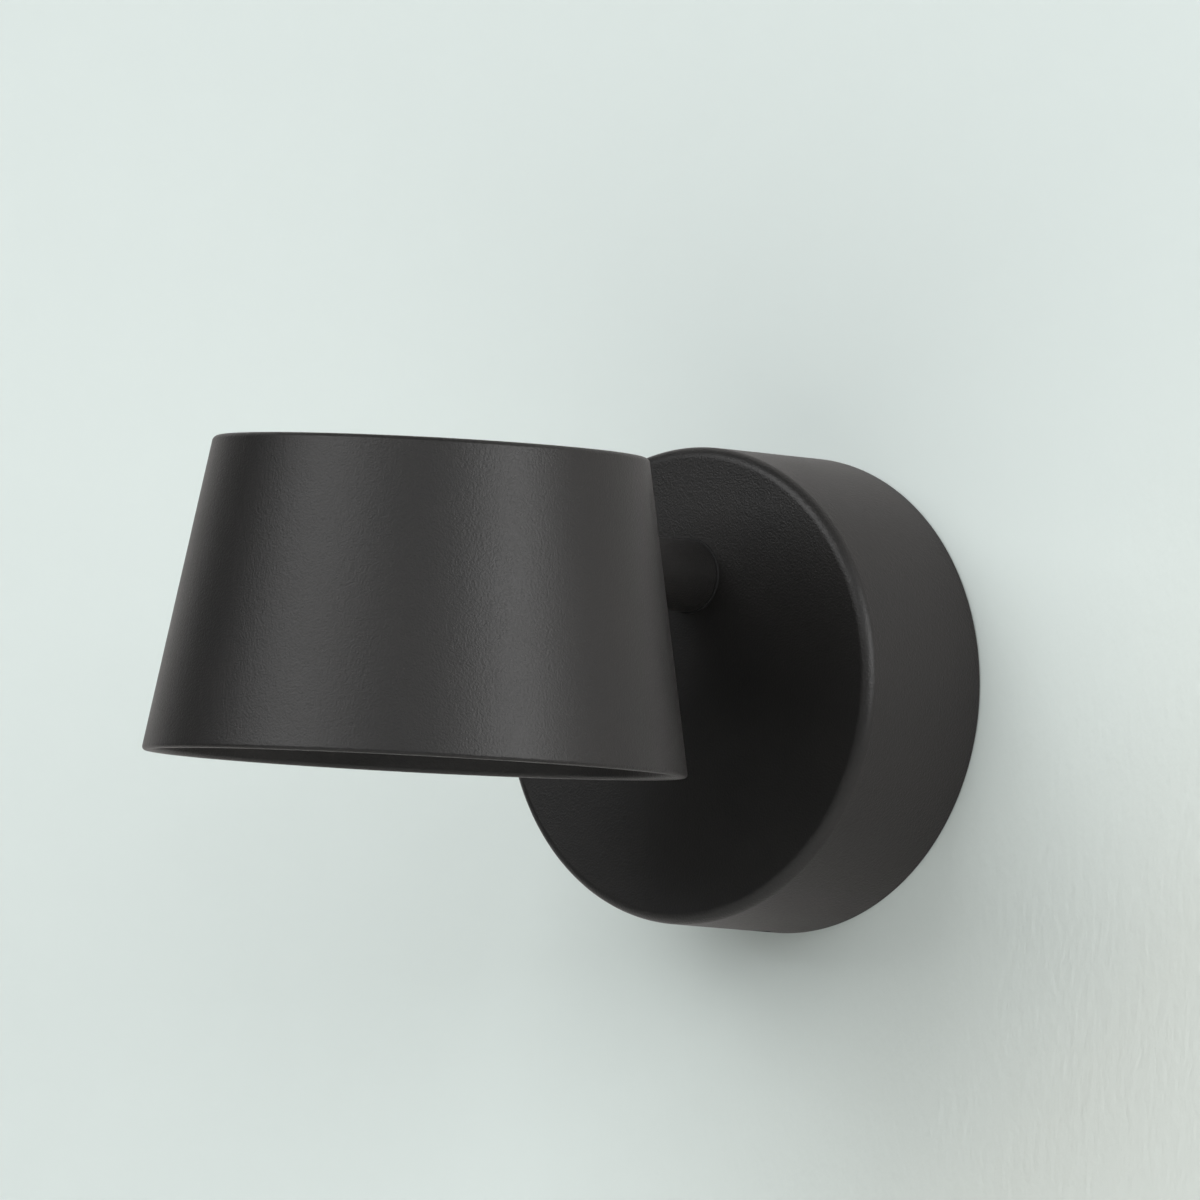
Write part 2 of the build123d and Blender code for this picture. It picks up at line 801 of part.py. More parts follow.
# ---- wall plate ----------------------------------------------------------------------------------
tab_face = sqrt((canopy_bore_radius - tab_clearance) ** 2 - (tab_width / 2) ** 2)
lug_collar_radius = lock_screw_radius + lug_collar_wall
grommet_radius = cable_radius + grommet_wall
block_spot = (-block_offset, 0)
block_screw_pitch = block_length - 2 * block_screw_inset
block_screw_spots = [(-block_offset, -block_screw_pitch / 2), (-block_offset, block_screw_pitch / 2)]
lug_up = Plane(origin=(0, -lock_reach, -tab_face), x_dir=(1, 0, 0), z_dir=(0, 0, 1))
tab_down = Plane(origin=(0, -lock_reach, tab_face), x_dir=(1, 0, 0), z_dir=(0, 0, -1))

with BuildPart() as wall_plate:
    # a strap bent forward at both ends, with the round plate pressed in one piece with it
    with BuildSketch(Plane.YZ):
        with Locations((-tab_length, 0)):
            RectangleRounded(2 * tab_length, 2 * tab_face, plate_bend_radius + plate_thickness)
            RectangleRounded(
                2 * (tab_length - plate_thickness), 2 * (tab_face - plate_thickness), plate_bend_radius,
                mode=Mode.SUBTRACT,
            )
        with Locations((-1.5 * tab_length, 0)):
            Rectangle(tab_length, 2 * tab_face, mode=Mode.SUBTRACT)
    extrude(amount=tab_width / 2, both=True)
    with BuildSketch(wall_plane(0)):
        Circle(plate_radius)
    extrude(amount=plate_thickness)
    with BuildSketch(lug_up):
        Circle(lug_collar_radius)
    extrude(amount=plate_thickness + lug_collar_length)
    with BuildSketch(wall_plane(0)):
        with Locations((0, wall_screw_spacing / 2), (0, -wall_screw_spacing / 2)):
            SlotOverall(wall_slot_length, wall_slot_width, rotation=90)
        Circle(grommet_radius + seat_gap)
        with Locations((window_offset, 0)):
            RectangleRounded(window_width, window_height, window_round)
        with Locations(*block_screw_spots):
            Circle(plate_screw_radius + screw_fit)
    extrude(amount=plate_thickness, mode=Mode.SUBTRACT)
    with BuildSketch(lug_up):
        Circle(lock_screw_radius + screw_fit)
    extrude(amount=plate_thickness + lug_collar_length, mode=Mode.SUBTRACT)
    with BuildSketch(tab_down):
        Rectangle(hook_width + 2 * slide_gap, hook_thickness + 2 * slide_gap)
    extrude(amount=plate_thickness, mode=Mode.SUBTRACT)
save(wall_plate.part, "wall_plate")

lock_screw_end = canopy_radius - lock_screw_recess
with BuildPart() as lock_screw:
    with BuildSketch(Plane(origin=(0, -lock_reach, -lock_screw_end), x_dir=(1, 0, 0), z_dir=(0, 0, 1))):
        Circle(lock_screw_radius)
    extrude(amount=lock_screw_length)
    chamfer(lock_screw.edges().filter_by(GeomType.CIRCLE), lock_screw_chamfer)
    with BuildSketch(Plane(origin=(0, -lock_reach, -lock_screw_end), x_dir=(1, 0, 0), z_dir=(0, 0, 1))):
        RegularPolygon(lock_key_radius, 6, major_radius=False)
    extrude(amount=lock_key_depth, mode=Mode.SUBTRACT)
save(lock_screw.part, "lock_screw")

with BuildPart() as cable_grommet:
    with BuildSketch(wall_plane(0)):
        Circle(grommet_radius)
    extrude(amount=plate_thickness)
    with BuildSketch(wall_plane(plate_thickness)):
        Circle(grommet_radius + grommet_flange)
    extrude(amount=grommet_flange_thickness)
    fillet(cable_grommet.edges().filter_by(GeomType.CIRCLE).group_by(Axis.Y)[0], grommet_round)
    with BuildSketch(wall_plane(0)):
        Circle(cable_radius)
    extrude(amount=plate_thickness + grommet_flange_thickness, mode=Mode.SUBTRACT)
save(cable_grommet.part, "cable_grommet")

# ---- terminals -----------------------------------------------------------------------------------
pole_heights = [pole_pitch * (index - (pole_count - 1) / 2) for index in range(pole_count)]
pole_spots = [(-block_offset, height) for height in pole_heights]
clamp_spots = [(x - block_offset, z) for x in (-clamp_pitch / 2, clamp_pitch / 2) for z in pole_heights]
clamp_seat = plate_thickness + block_height - clamp_sink
wire_reach = plate_thickness + wire_hole_height
block_left = -block_offset - block_width / 2

with BuildPart() as terminal_block:
    with BuildSketch(wall_plane(plate_thickness)):
        with Locations(block_spot):
            RectangleRounded(block_width, block_length, block_round)
    extrude(amount=block_base)
    with BuildSketch(wall_plane(plate_thickness)):
        with Locations(*pole_spots):
            Rectangle(block_width - pole_chamfer, pole_width)
    extrude(amount=block_height)
    chamfer(terminal_block.edges().group_by(Axis.Y)[0].filter_by(Axis.X), pole_chamfer)
    with BuildSketch(wall_plane(clamp_seat)):
        with Locations(*clamp_spots):
            Circle(clamp_head_radius + face_gap)
    extrude(amount=block_height, mode=Mode.SUBTRACT)
    with BuildSketch(wall_plane(wire_reach)):
        with Locations(*clamp_spots):
            Circle(clamp_radius + screw_fit)
    extrude(amount=block_height, mode=Mode.SUBTRACT)
    with BuildSketch(Plane(origin=(block_left, -wire_reach, 0), x_dir=(0, -1, 0), z_dir=(1, 0, 0))):
        with Locations(*[(0, -height) for height in pole_heights]):
            Circle(wire_hole_radius)
    extrude(amount=block_width, mode=Mode.SUBTRACT)
    with BuildSketch(wall_plane(plate_thickness)):
        with Locations(*block_screw_spots):
            Circle(plate_screw_radius + slide_gap)
    extrude(amount=block_base, mode=Mode.SUBTRACT)
save(terminal_block.part, "terminal_block")

with BuildPart() as clamp_screws:
    with BuildSketch(wall_plane(wire_reach + core_radius)):
        with Locations(*clamp_spots):
            Circle(clamp_radius)
    extrude(amount=clamp_seat - wire_reach - core_radius)
    with BuildSketch(wall_plane(clamp_seat)):
        with Locations(*clamp_spots):
            Circle(clamp_head_radius)
    extrude(amount=clamp_head_height)
    with BuildSketch(wall_plane(clamp_seat + clamp_head_height)):
        with Locations(*clamp_spots):
            Rectangle(3 * clamp_head_radius, clamp_slot)
    extrude(amount=-clamp_head_height / 2, mode=Mode.SUBTRACT)
save(clamp_screws.part, "terminal_screws")

block_seat = wall_plane(plate_thickness + block_base)
save(
    pan_screws(
        block_seat, block_screw_spots, plate_screw_radius, plate_thickness + block_base - face_gap
    ),
    "terminal_block_screws",
)

# ---- driver --------------------------------------------------------------------------------------
driver_top = driver_height + driver_width / 2
driver_left = -driver_length / 2
mains_reach = driver_inner + mains_depth
mains_heights = [driver_top - mains_inset, driver_top - mains_inset - mains_pitch]
output_reach = driver_inner + output_depth
output_x = driver_length / 2 - output_inset
driver_spot = (0, driver_height)
pcb_reach = driver_inner + driver_wall + pcb_height
pcb_post_length = driver_length - 2 * driver_wall - pcb_post
pcb_post_width = driver_width - 2 * driver_wall - pcb_post

with BuildPart() as driver_case:
    with BuildSketch(wall_plane(driver_inner)):
        with Locations(driver_spot):
            RectangleRounded(driver_length, driver_width, driver_round)
    extrude(amount=driver_depth)
    with BuildSketch(wall_plane(driver_inner + driver_wall)):
        with Locations(driver_spot):
            RectangleRounded(
                driver_length - 2 * driver_wall,
                driver_width - 2 * driver_wall,
                driver_round - driver_wall,
            )
    extrude(amount=driver_depth, mode=Mode.SUBTRACT)
    with BuildSketch(wall_plane(driver_inner + driver_wall)):
        with Locations(driver_spot):
            with GridLocations(pcb_post_length, pcb_post_width, 2, 2):
                Rectangle(pcb_post, pcb_post)
    extrude(amount=pcb_height)
    # ears that are screwed to the canopy's bosses
    with BuildSketch(wall_plane(driver_boss_end)):
        with Locations(*driver_boss_spots):
            RectangleRounded(ear_length, ear_width, ear_round)
        with Locations(driver_spot):
            Rectangle(driver_length + ear_neck, ear_width)
        with Locations(*driver_boss_spots):
            Circle(driver_screw_radius + slide_gap, mode=Mode.SUBTRACT)
        with Locations(driver_spot):
            Rectangle(driver_length - driver_wall, driver_width, mode=Mode.SUBTRACT)
    extrude(amount=-ear_thickness)
    with BuildSketch(Plane(origin=(driver_left, -mains_reach, 0), x_dir=(0, -1, 0), z_dir=(1, 0, 0))):
        with Locations(*[(0, -height) for height in mains_heights]):
            Circle(core_radius + lead_gap)
    extrude(amount=driver_wall, mode=Mode.SUBTRACT)
    with BuildSketch(Plane(origin=(output_x, -output_reach, driver_top), z_dir=(0, 0, -1))):
        Circle(sheath_radius + lead_gap)
    extrude(amount=driver_wall, mode=Mode.SUBTRACT)
save(driver_case.part, "driver_case")

with BuildPart() as driver_lid:
    with BuildSketch(wall_plane(face_inside - driver_wall)):
        with Locations(driver_spot):
            RectangleRounded(
                driver_length - 2 * (driver_wall + seat_gap), driver_width - 2 * (driver_wall + seat_gap),
                driver_round - driver_wall,
            )
    extrude(amount=driver_wall)
save(driver_lid.part, "driver_lid")

with BuildPart() as driver_board:
    with BuildSketch(wall_plane(pcb_reach)):
        with Locations(driver_spot):
            Rectangle(
                driver_length - 2 * (driver_wall + pcb_gap), driver_width - 2 * (driver_wall + pcb_gap)
            )
    extrude(amount=pcb_thickness)
save(driver_board.part, "driver_board")

part_reach = pcb_reach + pcb_thickness
with BuildPart() as transformer:
    with BuildSketch(wall_plane(part_reach)):
        with Locations((core_offset, driver_height)):
            RectangleRounded(core_width, core_length, core_round)
    extrude(amount=core_height)
    with BuildSketch(wall_plane(part_reach)):
        with Locations((core_offset, driver_height)):
            Rectangle(winding_width, winding_length)
    extrude(amount=winding_height)
save(transformer.part, "driver_transformer")

capacitor_spots = [
    (-capacitor_place - capacitor_pitch / 2, driver_height + capacitor_offset),
    (-capacitor_place + capacitor_pitch / 2, driver_height + capacitor_offset),
    (filter_place, driver_height - capacitor_offset),
]
with BuildPart() as capacitors:
    with BuildSketch(wall_plane(part_reach)):
        with Locations(*capacitor_spots):
            Circle(capacitor_radius)
    extrude(amount=capacitor_height)
save(capacitors.part, "driver_capacitors")

ear_seat = back_plane(driver_boss_end - ear_thickness)
save(
    pan_screws(
        ear_seat, mirrored(driver_boss_spots), driver_screw_radius,
        ear_thickness + driver_boss_height - screw_tip_gap,
    ),
    "driver_screws",
)

# ---- earth bond of the canopy --------------------------------------------------------------------
ring_angle = 225.0
barrel_offset = ring_terminal_radius + barrel_gap
ring_heading = Vector(cos(radians(ring_angle)), 0, sin(radians(ring_angle)))
ring_centre = Vector(earth_boss_spot[0], -(earth_seat - ring_terminal_thickness), earth_boss_spot[1])
barrel_axis_drop = Vector(0, barrel_radius - ring_terminal_thickness, 0)
barrel_start = ring_centre + ring_heading * barrel_offset + barrel_axis_drop
barrel_end = barrel_start + ring_heading * barrel_length

with BuildPart() as ring_terminal:
    with BuildSketch(wall_plane(earth_seat - ring_terminal_thickness)):
        with Locations(earth_boss_spot):
            Circle(ring_terminal_radius)
            with Locations(Location((0, 0), ring_angle)):
                with Locations((ring_terminal_radius, 0)):
                    Rectangle(2 * ring_terminal_radius, ring_neck_width)
            Circle(earth_screw_radius + slide_gap, mode=Mode.SUBTRACT)
    extrude(amount=ring_terminal_thickness)
    with BuildSketch(Plane(origin=barrel_start, z_dir=ring_heading)):
        Circle(barrel_radius)
    extrude(amount=barrel_length)
    with BuildSketch(Plane(origin=barrel_start, z_dir=ring_heading)):
        Circle(core_radius + seat_gap)
    extrude(amount=barrel_length, mode=Mode.SUBTRACT)
save(ring_terminal.part, "earth_ring_terminal")

earth_seat_plane = back_plane(earth_seat - ring_terminal_thickness)
save(
    pan_screws(
        earth_seat_plane, mirrored([earth_boss_spot]), earth_screw_radius,
        ring_terminal_thickness + earth_boss_height - screw_tip_gap,
    ),
    "earth_screw",
)

# ---- leads ---------------------------------------------------------------------------------------
loop_x = block_left - loop_gap
wire_start = -block_offset - clamp_pitch / 2 - wire_overlap
earth_pole, neutral_pole, live_pole = pole_heights[2], pole_heights[1], pole_heights[0]


def mains_route(pole, entry):
    """From a clamp, round to the left of the block and out into the driver's end wall."""
    return [
        (wire_start, -wire_reach, pole), (loop_x, -wire_reach, pole),
        (loop_x, -mains_reach, entry), (driver_left + driver_wall, -mains_reach, entry),
    ]


save(lead(mains_route(live_pole, mains_heights[1]), core_radius, lead_bend), "live_lead")
save(lead(mains_route(neutral_pole, mains_heights[0]), core_radius, lead_bend), "neutral_lead")

approach = barrel_end + ring_heading * (lead_bend + lead_run)
earth_route = [
    (wire_start, -wire_reach, earth_pole), (approach.X, -wire_reach, earth_pole),
    (approach.X, approach.Y, approach.Z), (barrel_start.X, barrel_start.Y, barrel_start.Z),
]
save(lead(earth_route, core_radius, lead_bend), "earth_lead")

lead_split = tail_reach - lead_bush_flange
turn_reach = lead_split - slide_gap - lead_bend - lead_run
supply_route = [
    (0, -(lead_split - slide_gap), arm_height), (0, -turn_reach, arm_height),
    (output_x, -turn_reach, arm_height - loop_gap), (output_x, -output_reach, driver_top + output_rise),
    (output_x, -output_reach, driver_top - driver_wall),
]
save(lead(supply_route, sheath_radius, lead_bend), "driver_output_lead")

connector_edge = board_radius - connector_inset
lead_floor = board_underside - sheath_radius
lamp_route = [
    (0, -lead_split, arm_height), (0, -drop_reach, arm_height),
    (0, -drop_reach, lead_floor), (0, -(shade_reach - connector_edge), lead_floor),
]
save(lead(lamp_route, sheath_radius, lamp_lead_bend), "lamp_lead")

with BuildPart() as board_connector:
    with BuildSketch(board_face):
        with Locations((0, -(connector_edge - connector_length / 2))):
            Rectangle(connector_width, connector_length)
    extrude(amount=connector_height)
save(board_connector.part, "board_connector")


def lead_bush(base, outwards):
    """A snap bush that keeps the lead off the edge of the arm's bore."""
    with BuildPart() as bush:
        with BuildSketch(base):
            Circle(arm_bore_radius + lead_bush_lap)
        extrude(amount=outwards * lead_bush_flange)
        with BuildSketch(base):
            Circle(arm_bore_radius - seat_gap)
        extrude(amount=-outwards * lead_bush_collar)
        with BuildSketch(base.offset(outwards * lead_bush_flange)):
            Circle(sheath_radius + lead_gap)
        extrude(amount=-outwards * (lead_bush_collar + lead_bush_flange), mode=Mode.SUBTRACT)
    return bush.part


save(lead_bush(arm_plane(tail_reach), -1), "tail_lead_bush")
save(lead_bush(arm_plane(spigot_end), 1), "head_lead_bush")
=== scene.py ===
# %% [markdown]
# # A pivoting spotlight wall light
#
# The light is a conical shade on a short arm that swivels in a deep round canopy. The packed
# model is the frame: it says where every piece is, in metres, with the wall at y = 0, +Z up and
# the light standing out along -Y. This script gives the visible shells fine turned meshes, gives
# every piece its finish, and lights the whole against a pale wall.

import json
import math

import bmesh
import bpy
from mathutils import Matrix, Vector

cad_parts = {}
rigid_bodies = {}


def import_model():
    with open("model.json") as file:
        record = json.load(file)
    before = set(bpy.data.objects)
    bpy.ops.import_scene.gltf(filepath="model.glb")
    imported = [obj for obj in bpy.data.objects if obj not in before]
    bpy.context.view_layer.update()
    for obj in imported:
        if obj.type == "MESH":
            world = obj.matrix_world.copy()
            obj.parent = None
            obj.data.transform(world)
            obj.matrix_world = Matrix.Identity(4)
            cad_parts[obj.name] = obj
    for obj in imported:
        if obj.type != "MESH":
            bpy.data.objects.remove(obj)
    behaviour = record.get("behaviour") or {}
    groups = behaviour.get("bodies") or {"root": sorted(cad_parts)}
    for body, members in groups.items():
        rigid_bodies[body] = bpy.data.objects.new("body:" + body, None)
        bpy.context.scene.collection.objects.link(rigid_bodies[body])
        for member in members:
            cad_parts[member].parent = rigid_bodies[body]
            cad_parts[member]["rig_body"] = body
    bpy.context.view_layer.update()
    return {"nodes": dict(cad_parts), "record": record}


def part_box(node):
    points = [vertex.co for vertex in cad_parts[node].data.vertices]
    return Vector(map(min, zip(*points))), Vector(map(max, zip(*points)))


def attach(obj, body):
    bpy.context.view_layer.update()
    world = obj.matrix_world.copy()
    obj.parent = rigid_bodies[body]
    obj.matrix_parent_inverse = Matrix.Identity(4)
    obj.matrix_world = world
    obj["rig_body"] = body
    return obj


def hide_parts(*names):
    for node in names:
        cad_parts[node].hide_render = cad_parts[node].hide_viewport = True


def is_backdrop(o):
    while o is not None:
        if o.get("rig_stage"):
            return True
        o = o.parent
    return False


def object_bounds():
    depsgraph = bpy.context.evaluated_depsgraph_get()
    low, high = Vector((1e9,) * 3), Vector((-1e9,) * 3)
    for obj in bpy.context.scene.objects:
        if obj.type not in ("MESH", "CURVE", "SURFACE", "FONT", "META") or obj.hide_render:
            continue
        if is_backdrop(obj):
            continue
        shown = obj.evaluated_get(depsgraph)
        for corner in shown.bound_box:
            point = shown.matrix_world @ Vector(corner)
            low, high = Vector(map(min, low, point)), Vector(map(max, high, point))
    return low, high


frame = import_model()
nodes = frame["nodes"]

# %% [markdown]
# ## Sizes
#
# The real light's sizes come from the frame wherever a node's box shows them. The few that a box
# can't show, such as a wall's thickness or an edge's rounding, are named here in millimetres.

# %% Sizes
MM = 0.001

canopy_low, canopy_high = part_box("canopy")
canopy_radius = canopy_high.x
canopy_depth = -canopy_low.y
canopy_wall = 2.5 * MM
canopy_face = 3.0 * MM
canopy_round = 2.5 * MM

arm_low, arm_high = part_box("arm")
arm_height = (arm_low.z + arm_high.z) / 2

shade_low, shade_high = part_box("shade")
shade_reach = -(shade_low.y + shade_high.y) / 2
shade_top = shade_high.z
shade_mouth = shade_low.z
shade_top_radius = 45.0 * MM
shade_mouth_radius = 56.4 * MM
shade_wall = 2.23 * MM
shade_lid = 2.6 * MM
shade_top_round = 1.0 * MM
shade_rim_round = 0.9 * MM
print(f"canopy {2 * canopy_radius / MM:.1f} mm across, shade axis {shade_reach / MM:.1f} mm from the wall")

# %% [markdown]
# ## Colour management and camera
#
# The picture is taken from the light's right front, a little below it, with a long lens, and the
# camera is rolled by three degrees. The camera's place is written as an azimuth, an elevation and
# a distance from the canopy's centre, and its aim as a yaw and a pitch, so each can be changed by
# itself. Azimuth 0 looks straight at the wall.

# %% Camera
scene = bpy.context.scene
scene.view_settings.view_transform = "Standard"

camera_azimuth = math.radians(39.9255)
camera_elevation = math.radians(-2.0541)
camera_distance = 4.61825
camera_yaw = math.radians(40.4495)
camera_pitch = math.radians(2.2767)
camera_roll = math.radians(2.9951)
camera_lens = 659.16


def outward(azimuth, elevation):
    """Unit vector from the canopy's centre towards a viewer at this azimuth and elevation."""
    return Vector((
        math.sin(azimuth) * math.cos(elevation),
        -math.cos(azimuth) * math.cos(elevation),
        math.sin(elevation),
    ))


def aimed(forward, roll=0.0):
    """Rotation that looks along a direction with its right side level, then rolls."""
    right = forward.cross(Vector((0, 0, 1))).normalized()
    up = right.cross(forward)
    turned = Matrix((
        right * math.cos(roll) + up * math.sin(roll),
        up * math.cos(roll) - right * math.sin(roll),
        -forward,
    ))
    return turned.transposed()


camera = bpy.data.objects.new("camera", bpy.data.cameras.new("camera"))
camera.data.lens = camera_lens
camera.data.clip_end = 50.0
camera.matrix_world = Matrix.LocRotScale(
    outward(camera_azimuth, camera_elevation) * camera_distance,
    aimed(-outward(camera_yaw, -camera_pitch), camera_roll).to_quaternion(),
    None,
)
scene.collection.objects.link(camera)
scene.camera = camera
print("camera at", [round(x, 3) for x in camera.matrix_world.translation])

# %% [markdown]
# ## Shader maths
#
# A finish is a Principled shader with a few patterns that feed it. Wiring Math nodes by hand hides
# the formula, so a socket is wrapped in a small class whose operators add the nodes: the
# expression on the page is then the formula of the finish. Any other node comes from one method
# that sets the node's own settings first and its sockets after.


# %% Field and Finish
class Field:
    """A number that varies over a surface: a socket with arithmetic."""

    def __init__(self, finish, socket):
        self.finish = finish
        self.socket = socket

    def maths(self, operation, *values):
        sockets = dict(enumerate((self, *values)))
        return self.finish.node("ShaderNodeMath", {"operation": operation}, sockets)

    def __add__(self, other):
        return self.maths("ADD", other)

    __radd__ = __add__

    def __sub__(self, other):
        return self.maths("SUBTRACT", other)

    def __rsub__(self, other):
        return self.maths("MULTIPLY_ADD", -1.0, other)

    def __mul__(self, other):
        return self.maths("MULTIPLY", other)

    __rmul__ = __mul__

    def __gt__(self, edge):
        return self.maths("GREATER_THAN", edge)


class Finish:
    """One material: a Principled shader and the patterns that feed it."""

    def __init__(self, name, **constants):
        self.material = bpy.data.materials.new(name)
        self.material.use_nodes = True
        self.tree = self.material.node_tree
        self.shader = self.tree.nodes["Principled BSDF"]
        for label, value in constants.items():
            self.feed(self.shader.inputs[label.replace("_", " ")], value)

    def feed(self, socket, value):
        if isinstance(value, Field):
            self.tree.links.new(value.socket, socket)
        else:
            socket.default_value = value

    def node(self, kind, settings=None, sockets=None, output=0):
        made = self.tree.nodes.new(kind)
        for label, value in (settings or {}).items():
            setattr(made, label, value)
        for label, value in (sockets or {}).items():
            self.feed(made.inputs[label], value)
        return Field(self, made.outputs[output])

    def place(self, scale=(1, 1, 1)):
        """Object coordinates in metres, which every piece shares because it sits at the origin."""
        coordinates = self.node("ShaderNodeTexCoord", output="Object")
        return self.node("ShaderNodeMapping", None, {"Vector": coordinates, "Scale": scale})

    def along(self, axis):
        """One of the object coordinates, X, Y or Z, in metres."""
        return self.node("ShaderNodeSeparateXYZ", None, {0: self.place()}, "XYZ".index(axis))

    def noise(self, size, detail=2.0, stretch=(1, 1, 1)):
        """Noise whose blotches are about this many metres across."""
        sockets = {"Vector": self.place(stretch), "Scale": 1 / size, "Detail": detail}
        return self.node("ShaderNodeTexNoise", None, sockets)

    def cells(self, size):
        """Distance to the nearest of points scattered about this many metres apart."""
        sockets = {"Vector": self.place(), "Scale": 1 / size}
        return self.node("ShaderNodeTexVoronoi", None, sockets, "Distance")

    def mix(self, factor, first, second):
        """A colour between two others."""
        sockets = {0: factor}
        for index, colour in ((6, first), (7, second)):
            sockets[index] = colour if isinstance(colour, Field) else (*colour, 1.0)
        return self.node("ShaderNodeMix", {"data_type": "RGBA"}, sockets, 2)

    def bump(self, height, depth, strength=1.0):
        sockets = {"Height": height, "Distance": depth, "Strength": strength}
        self.feed(self.shader.inputs["Normal"], self.node("ShaderNodeBump", None, sockets))

    def colour(self, value):
        self.feed(self.shader.inputs["Base Color"], value)

    def roughness(self, value):
        self.feed(self.shader.inputs["Roughness"], value)


# %% [markdown]
# ## The black powder coat
#
# The canopy, the arm and the shade are sprayed with powder that melts into a satin, almost matte
# black film. From close by, the film has a fine orange peel, about half a millimetre across, that
# breaks the highlights up into specks, and over centimetres its gloss drifts a little. The peel is
# a bump, peel and drift both go to the roughness, and the colour stays nearly even, a little
# warmer and paler where the film is thick.


# %% Powder coat
def powder_coat():
    finish = Finish("black_powder_coat", **{"Specular IOR Level": 0.34})
    peel = finish.noise(0.45 * MM, 3.0)
    pits = finish.noise(1.1 * MM, 2.0)
    drift = finish.noise(22 * MM, 2.0)
    finish.colour(finish.mix(drift + 0.8 * peel - 0.4, (0.0080, 0.0080, 0.0080), (0.0128, 0.0118, 0.0110)))
    finish.roughness(0.33 + 0.07 * drift + 0.13 * peel)
    finish.bump(peel + 0.4 * pits, 0.12 * MM, 0.8)
    return finish.material


# %% [markdown]
# ## Plastics, rubber and silicone
#
# The bush, the retaining ring, the driver's case, the terminals and the leads are moulded or
# extruded. They differ in colour and gloss but share the way of being made, so one function
# makes them all: a faint spark-eroded grain in the bump and a slight drift of colour. The black
# nylon is the dullest, because the bush hardly shines beside the coated arm.


# %% Moulded finishes
def moulded(name, colour, roughness, grain=0.25 * MM, depth=0.01 * MM, gloss=0.5):
    finish = Finish(name, **{"Specular IOR Level": gloss})
    drift = finish.noise(9 * MM, 2.0)
    texture = finish.noise(grain, 2.0)
    finish.colour(finish.mix(drift, colour, tuple(0.88 * part for part in colour)))
    finish.roughness(roughness + 0.08 * texture)
    finish.bump(texture, depth, 0.5)
    return finish.material


def opal():
    """The diffuser: milky acrylic that scatters light a little below its surface."""
    finish = Finish("opal_acrylic", **{
        "Subsurface Weight": 0.35, "Subsurface Radius": (0.004, 0.004, 0.0035), "Subsurface Scale": 1.0,
    })
    cloud = finish.noise(6 * MM, 3.0)
    finish.colour(finish.mix(cloud, (0.83, 0.83, 0.80), (0.80, 0.80, 0.77)))
    finish.roughness(0.42 + 0.06 * cloud)
    finish.bump(finish.noise(0.3 * MM), 0.006 * MM, 0.4)
    return finish.material


def earth_sheath():
    """Green insulation with the yellow stripe that marks an earth lead."""
    finish = Finish("earth_insulation", Roughness=0.5)
    sockets = {"Vector": finish.place(), "Scale": 1 / (7 * MM), "Distortion": 0.5}
    bands = finish.node("ShaderNodeTexWave", {"bands_direction": "DIAGONAL"}, sockets, 1)
    finish.colour(finish.mix(bands > 0.55, (0.03, 0.22, 0.04), (0.62, 0.52, 0.03)))
    return finish.material


# %% [markdown]
# ## Metals inside and behind
#
# The wall plate, the washers and the screws are zinc plated: a cool grey metal whose gloss is
# cloudy, because the plating's crystals lie differently from patch to patch. The cast heat sink
# is duller and shows the grain of the die, and the terminals' brass is warmer. All of them are
# one function with a different colour, gloss and size of cloud.


# %% Metal finishes
def plated(name, colour, roughness, cloud=3 * MM, grain=0.2 * MM, depth=0.006 * MM):
    finish = Finish(name, Metallic=1.0)
    clouds = finish.noise(cloud, 4.0)
    speck = finish.noise(grain, 2.0)
    finish.colour(finish.mix(clouds, colour, tuple(0.80 * part for part in colour)))
    finish.roughness(roughness + 0.16 * clouds + 0.05 * speck)
    finish.bump(speck, depth, 0.5)
    return finish.material


# %% [markdown]
# ## Boards and the light source
#
# The light source is a chip array under a yellow silicone phosphor, on a white board. The driver's
# board is green. Voronoi cells give both their small regular blotches: solder pads on the boards,
# and on the phosphor a painted glow, a brighter yellow over each chip, though the chip array is not lit.


# %% Board finishes
def board(name, mask, pad, spacing):
    finish = Finish(name)
    pads = 1 - (finish.cells(spacing) > 0.16)
    ripple = finish.noise(0.6 * MM, 2.0)
    finish.colour(finish.mix(pads, mask, pad))
    finish.roughness(0.34 + 0.10 * ripple)
    finish.bump(ripple, 0.008 * MM, 0.4)
    return finish.material


def phosphor():
    finish = Finish("silicone_phosphor")
    chip_spots_and_painted_glow = finish.cells(1.1 * MM)
    # The colour is a painted glow: brighter yellow over each chip, though nothing here emits light. The same
    # chip spots also drive the roughness and a real bump.
    finish.colour(finish.mix(chip_spots_and_painted_glow, (0.86, 0.62, 0.10), (0.72, 0.46, 0.05)))
    finish.roughness(0.28 + 0.10 * chip_spots_and_painted_glow)
    finish.bump(chip_spots_and_painted_glow, 0.03 * MM, 0.3)
    return finish.material


